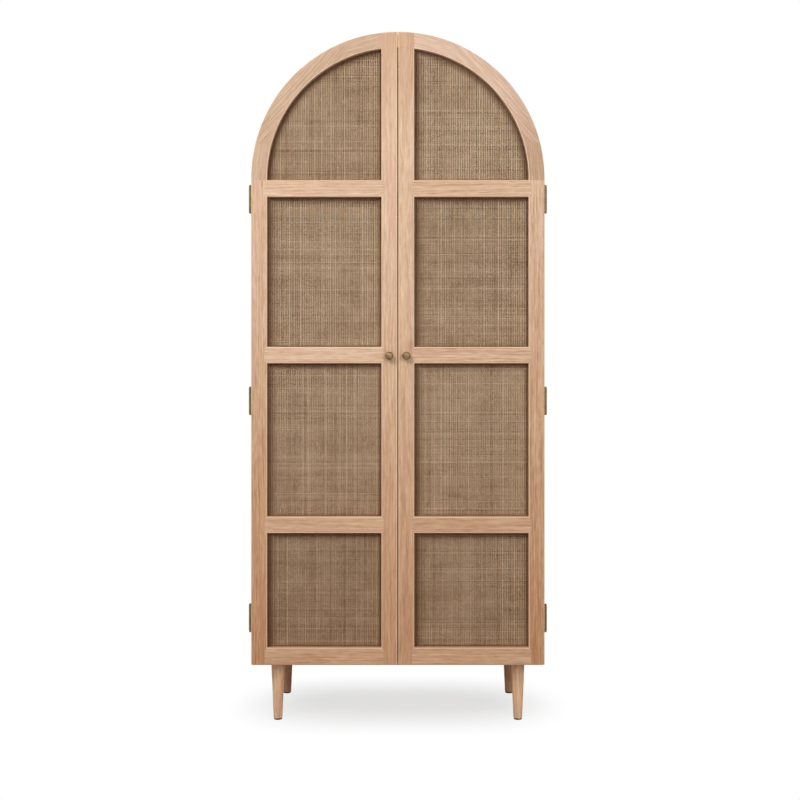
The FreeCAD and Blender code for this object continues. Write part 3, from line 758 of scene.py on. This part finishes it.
def turned_knob(node, name, body, coat):
    """A knob turned about the middle of its solid, from the door out."""
    low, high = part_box(node)
    middle = (low + high) / 2
    reach = high.y - low.y
    line = list(knob_turning)
    for step in range(dome_steps):
        angle = math.pi / 2 * step / dome_steps
        rise = (reach - dome_foot) * math.sin(angle)
        line.append((dome_radius * math.cos(angle), dome_foot + rise))
    points = []
    for radius, out in line:
        for side in range(knob_sides):
            turn = math.tau * side / knob_sides
            x = middle.x + radius * math.cos(turn)
            z = middle.z + radius * math.sin(turn)
            points.append((x, high.y - out, z))
    points.append((middle.x, low.y, middle.z))
    # One face closes the foot, and a fan of triangles the top of the dome
    faces = [tuple(range(knob_sides - 1, -1, -1))]
    for ring in range(len(line) - 1):
        for side in range(knob_sides):
            near = ring * knob_sides + side
            beside = ring * knob_sides + (side + 1) % knob_sides
            faces.append((near, beside, beside + knob_sides, near + knob_sides))
    last = (len(line) - 1) * knob_sides
    for side in range(knob_sides):
        faces.append((last + side, last + (side + 1) % knob_sides, len(points) - 1))
    mesh = bpy.data.meshes.new(name)
    mesh.from_pydata(points, [], faces)
    mesh.polygons.foreach_set("use_smooth", [len(face) < 5 for face in faces])
    mesh.materials.append(coat)
    knob = bpy.data.objects.new(name, mesh)
    bpy.context.scene.collection.objects.link(knob)
    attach(knob, body)
    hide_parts(node)


brass = metal("brass_patina", colour(106, 84, 52), colour(150, 123, 80), 0.34, 0.5)
screw_brass = metal("brass_screws", colour(132, 104, 66), colour(186, 156, 106), 0.34)
steel = metal("satin_chrome", colour(170, 170, 168), colour(192, 192, 190), 0.26)
zinc = metal("zinc_plating", colour(150, 152, 154), colour(186, 188, 190), 0.34)
for side in ("left", "right"):
    turned_knob(f"{side}_door_knob", f"{side}_door_turned_knob", f"{side}_door", brass)
    for name in ("door_hinge_leaves", "case_hinge_leaves", "hinge_pins"):
        dress(f"{side}_{name}", brass)
    for name in ("door_knob_screw", "door_strike_plate"):
        dress(f"{side}_{name}", zinc)
for name in ("leg_bolts", "shelf_pins"):
    dress(name, zinc)
for name in ("clothes_rail", "rail_sockets"):
    dress(name, steel)

# Screws and pins
# Cross-head screws hold the hinge leaves, strike plates, sockets, catches, corner blocks and the
# back board, and small round-headed pins hold the beads. Every screw ends at its own angle.
head_sides = 20
# Shares of a head's radius, and for the depth of the slots of its height
crown_share = 0.80
slot_share = 0.24
slot_reach_share = 1.20
slot_depth_share = 0.85
# Heads: radius and height
flush_head = (0.0036, 0.00011)
plate_head = (0.0024, 0.00010)
pan_head = (0.0034, 0.0011)
small_head = (0.0029, 0.0011)
pin_head = (0.0011, 0.00025)
out, back, down = (0, -1, 0), (0, 1, 0), (0, 0, -1)


def screw_loom(name, crossed):
    loom = Loom(name)
    spots = loom.size("Spots", "Geometry")
    crown = loom.size("Crown share")
    slot_width = loom.size("Slot share")
    slot_reach = loom.size("Slot reach share")
    slot_depth = loom.size("Slot depth share")
    seed = loom.size("Seed", "Int")
    coat = loom.size("Finish", "Material")
    values = {"Vertices": head_sides, "Radius Top": crown, "Radius Bottom": 1.0, "Depth": 1.0}
    head = loom.add("MeshCone", {"fill_type": "NGON"}, values)
    if crossed:
        sizes = (loom.vector(slot_reach, slot_width, 1.0), loom.vector(slot_width, slot_reach, 1.0))
        for size in sizes:
            # A bar with its middle at 1.5 would stand on top of the head
            bar = loom.add("MeshCube", values={"Size": size})
            above = loom.vector(0.0, 0.0, 1.5 - slot_depth)
            bar = loom.add("Transform", values={"Geometry": bar, "Translation": above})
            # The faces of the slot carry the painted shade
            bar = loom.store(bar, "recess", 1.0, "FACE")
            values = {"Mesh 1": head, "Mesh 2": bar}
            head = loom.add("MeshBoolean", {"operation": "DIFFERENCE", "solver": "EXACT"}, values)
    facing = loom.add("InputNamedAttribute", {"data_type": "FLOAT_VECTOR"}, {"Name": "facing"})
    size = loom.add("InputNamedAttribute", {"data_type": "FLOAT_VECTOR"}, {"Name": "head_size"})
    turn = loom.add("AlignRotationToVector", {"axis": "Z"}, {"Vector": facing})
    values = {"Points": spots, "Instance": head, "Rotation": turn, "Scale": size}
    laid = loom.add("InstanceOnPoints", values=values)
    values = {2: 0.0, 3: math.pi, "Seed": seed}
    spin = loom.add("RandomValue", {"data_type": "FLOAT"}, values, 1)
    values = {"Instances": laid, "Rotation": loom.vector(0.0, 0.0, spin), "Local Space": True}
    laid = loom.add("RotateInstances", values=values)
    loom.finish(laid, coat)
    return loom


screws = screw_loom("cross_head_screws", True)
pins = screw_loom("round_head_pins", False)


def drive(name, loom, body, coat, spots, seed):
    """Screws or pins as one piece; a spot is its place, the way it faces and its head."""
    mesh = bpy.data.meshes.new(name + "_spots")
    mesh.from_pydata([place for place, facing, head in spots], [], [])
    facings = mesh.attributes.new("facing", "FLOAT_VECTOR", "POINT")
    sizes = mesh.attributes.new("head_size", "FLOAT_VECTOR", "POINT")
    for number, (place, facing, head) in enumerate(spots):
        facings.data[number].vector = facing
        sizes.data[number].vector = (head[0], head[0], head[1])
    values = {
        "Crown share": crown_share,
        "Slot share": slot_share,
        "Slot reach share": slot_reach_share,
        "Slot depth share": slot_depth_share,
        "Seed": seed,
        "Finish": coat,
    }
    piece = loom.make(name, values, mesh)
    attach(piece, body)


# Hinges: their levels, where the four screws of a leaf are, and half the gap of closed leaves
hinge_levels = (0.365, 1.121, 1.823)
leaf_spots = ((0.496, -0.033), (0.484, -0.011), (0.484, 0.011), (0.496, 0.033))
leaf_gap = 0.00015
hinge_y = -0.185
# Strike plates and beads: steps of a plate's screws, and where the pins of the beads are
strike_steps = (-0.012, 0.012)
bead_middle = 0.0037
pins_a_side = 4
arch_pin_levels = (0.05, 0.15, 0.25, 0.35, 0.45)
arch_pin_turns = (6, 20, 34, 48, 62, 76)
case_leaf_spots = []
for side, door in ((-1, "left_door"), (1, "right_door")):
    door_leaf_spots = []
    for level in hinge_levels:
        for x, rise in leaf_spots:
            door_leaf_spots.append(((x * side, hinge_y - leaf_gap, level + rise), back, flush_head))
            case_leaf_spots.append(((x * side, hinge_y + leaf_gap, level + rise), out, flush_head))
    drive(door + "_hinge_screws", screws, door, screw_brass, door_leaf_spots, 3)
    low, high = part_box(door + "_strike_plate")
    middle = (low + high) / 2
    spots = [((middle.x + step, high.y, middle.z), back, plate_head) for step in strike_steps]
    drive(door + "_strike_screws", screws, door, zinc, spots, 4)
    spots = []
    face_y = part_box(door + "_cane_beads")[1].y
    for pane in pane_shades:
        low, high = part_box(f"{door}_{pane}_cane")
        x0, x1 = low.x + bead_middle, high.x - bead_middle
        z0, z1 = low.z + bead_middle, high.z - bead_middle
        shares = [(number + 0.5) / pins_a_side for number in range(pins_a_side)]
        across = [x0 + (x1 - x0) * share for share in shares]
        if pane == "arch":
            outer = x0 if side < 0 else x1
            inner = x1 if side < 0 else x0
            radius = abs(outer)
            spots += [((x, face_y, z0), back, pin_head) for x in across]
            spots += [((inner, face_y, z0 + rise), back, pin_head) for rise in arch_pin_levels]
            for turn in arch_pin_turns:
                angle = math.radians(turn)
                x = side * radius * math.cos(angle)
                z = spring_z + radius * math.sin(angle)
                spots.append(((x, face_y, z), back, pin_head))
        else:
            up = [z0 + (z1 - z0) * share for share in shares]
            spots += [((x, face_y, z), back, pin_head) for x in across for z in (z0, z1)]
            spots += [((x, face_y, z), back, pin_head) for x in (x0, x1) for z in up]
    drive(door + "_bead_pins", pins, door, screw_brass, spots, 5)
drive("case_hinge_screws", screws, "case", screw_brass, case_leaf_spots, 6)

# Back board: screws along its edge, and into the floor and the fixed shelf
back_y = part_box("back_panel")[1].y
back_edge = 0.491
edge_screws = 9
edge_start, edge_pitch = 0.26, 0.195
shelf_levels = (0.2435, 1.857)
shelf_screw_pitch = 0.17
case_spots = []
for side in (-1, 1):
    for number in range(edge_screws):
        level = edge_start + edge_pitch * number
        case_spots.append(((back_edge * side, back_y, level), back, pan_head))
for turn in range(10, 180, 20):
    angle = math.radians(turn)
    place = (back_edge * math.cos(angle), back_y, spring_z + back_edge * math.sin(angle))
    case_spots.append((place, back, pan_head))
for level in shelf_levels:
    for step in range(-2, 3):
        case_spots.append(((shelf_screw_pitch * step, back_y, level), back, pan_head))

# Sockets of the clothes rail, catches and corner blocks
socket_x = 0.4835
socket_turns = (90, 210, 330)
socket_circle = 0.0205
catch_x, catch_y = 0.028, -0.166
catch_steps = (-0.012, 0.012)
block_columns, block_rows = (0.388, 0.456), (-0.106, 0.172)
low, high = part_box("rail_sockets")
middle = (low + high) / 2
catch_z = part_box("door_catches")[0].z
block_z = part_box("corner_blocks")[0].z
for side in (-1, 1):
    for turn in socket_turns:
        angle = math.radians(turn)
        y = middle.y + socket_circle * math.cos(angle)
        z = middle.z + socket_circle * math.sin(angle)
        case_spots.append(((side * socket_x, y, z), (-side, 0, 0), small_head))
    for step in catch_steps:
        case_spots.append(((side * catch_x + step, catch_y, catch_z), down, small_head))
    for y in block_rows:
        for x in block_columns:
            case_spots.append(((side * x, y, block_z), down, pan_head))
drive("case_screws", screws, "case", zinc, case_spots, 7)

# Plastic feet and catches
# Dark brown moulded plastic: the round glides that the legs stand on, and the two magnetic
# catches, which hang under the fixed shelf on two screws each.


def plastic(name, shade):
    finish = Finish(name)
    here = finish.here()
    grain = finish.noise(here, 1400, 2, 0.6)
    cloud = finish.noise(here, 60, 2)
    dusty = tuple(value * 1.7 for value in shade)
    base = finish.mix(cloud, (*shade, 1), (*dusty, 1))
    return finish.close(
        Base_Color=base,
        Roughness=0.5 + grain * 0.2,
        Specular_IOR_Level=0.15,
        Normal=finish.bump(grain, 0.00008, 0.6),
    )


dress("door_catches", plastic("catch_plastic", colour(52, 38, 28)))
dress("leg_glides", plastic("glide_plastic", colour(38, 22, 12)))

# Studio
# A pale floor that runs out of sight, a soft light high on the left and a weaker one on the
# right. The camera stands level, 4.1 m in front of the doors.
lens = 53.2
picture_pixels, horizon_rise = 800, 35
camera_x, camera_distance, camera_height = 0.0074, 4.092, 1.2458
front_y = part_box("left_door_outer_stile")[0].y
camera_data = bpy.data.cameras.new("camera")
camera_data.sensor_width = 36
camera_data.lens = lens
camera_data.shift_y = -horizon_rise / picture_pixels
camera = bpy.data.objects.new("camera", camera_data)
camera.location = (camera_x, front_y - camera_distance, camera_height)
camera.rotation_euler = (math.pi / 2, 0, 0)
bpy.context.scene.collection.objects.link(camera)
bpy.context.scene.camera = camera

ground = bpy.data.meshes.new("floor")
far = 30.0
corners = [(-far, -far, 0), (far, -far, 0), (far, far, 0), (-far, far, 0)]
ground.from_pydata(corners, [], [(0, 1, 2, 3)])
floor = bpy.data.objects.new("floor", ground)
bpy.context.scene.collection.objects.link(floor)


def seen_directly(finish):
    """1 for rays from the camera, from gloss and through glass, and 0 for light."""
    seen = finish.add("LightPath", output="Is Camera Ray")
    for ray in ("Is Glossy Ray", "Is Transmission Ray"):
        other = finish.add("LightPath", output=ray)
        seen = finish.number("MAXIMUM", seen, other)
    return seen


# How fast the floor's shadow fades to the sides and to the front, and from where to where
fade_across, fade_forth = 2.44, 2.38
fade_start, fade_end = 0.15, 1.02
shadow_y = 0.05
shadow_share = 0.325


def floor_finish():
    """A matt floor that catches the shadow near the object and turns white further off."""
    finish = Finish("pale_floor")
    x, y = finish.place()[:2]
    across = x * x * fade_across
    forth = (y - shadow_y) * fade_forth
    away = finish.number("SQRT", across * across + forth * forth)
    veil = finish.span(away, fade_start, fade_end) * shadow_share + (1 - shadow_share)
    spots = finish.noise(finish.here(), 2.0, 2)
    tint = finish.mix(spots, (0.50, 0.50, 0.505, 1), (0.53, 0.53, 0.535, 1))
    matt = finish.add("BsdfDiffuse", values={"Color": tint})
    glow = finish.add("Emission", values={"Color": (1, 1, 1, 1), "Strength": 1.0})
    veiled = finish.add("MixShader", values={0: seen_directly(finish) * veil, 1: matt, 2: glow})
    finish.add("OutputMaterial", values={"Surface": veiled})
    return finish.material


ground.materials.append(floor_finish())


class Sky(Finish):
    """The nodes of the world."""

    def __init__(self, name):
        self.world = bpy.data.worlds.new(name)
        self.world.use_nodes = True
        self.tree = self.world.node_tree
        self.tree.nodes.clear()


sky = Sky("studio")
white = sky.add("Background", values={"Color": (1, 1, 1, 1), "Strength": 1.0})
dim = sky.add("Background", values={"Color": (1, 0.97, 0.93, 1), "Strength": 0.36})
blend = sky.add("MixShader", values={0: seen_directly(sky), 1: dim, 2: white})
sky.add("OutputWorld", values={"Surface": blend})
bpy.context.scene.world = sky.world


def softbox(name, place, aim, size, power):
    """A square lamp of a size in metres and a power in watts, turned to what it lights."""
    data = bpy.data.lights.new(name, "AREA")
    data.shape = "RECTANGLE"
    data.size = size
    data.size_y = size
    data.energy = power
    lamp = bpy.data.objects.new(name, data)
    lamp.location = place
    lamp.rotation_euler = (Vector(aim) - Vector(place)).to_track_quat("-Z", "Y").to_euler()
    bpy.context.scene.collection.objects.link(lamp)


softbox("key_light", (-1.7, -2.9, 3.5), (0, -0.2, 1.4), 1.4, 76)
softbox("fill_light", (1.6, -3.6, 2.4), (0, -0.2, 1.4), 1.4, 46)
softbox("back_light", (1.0, 4.4, 2.8), (0, 0.2, 1.3), 1.6, 60)
bpy.context.scene.view_settings.view_transform = "Standard"
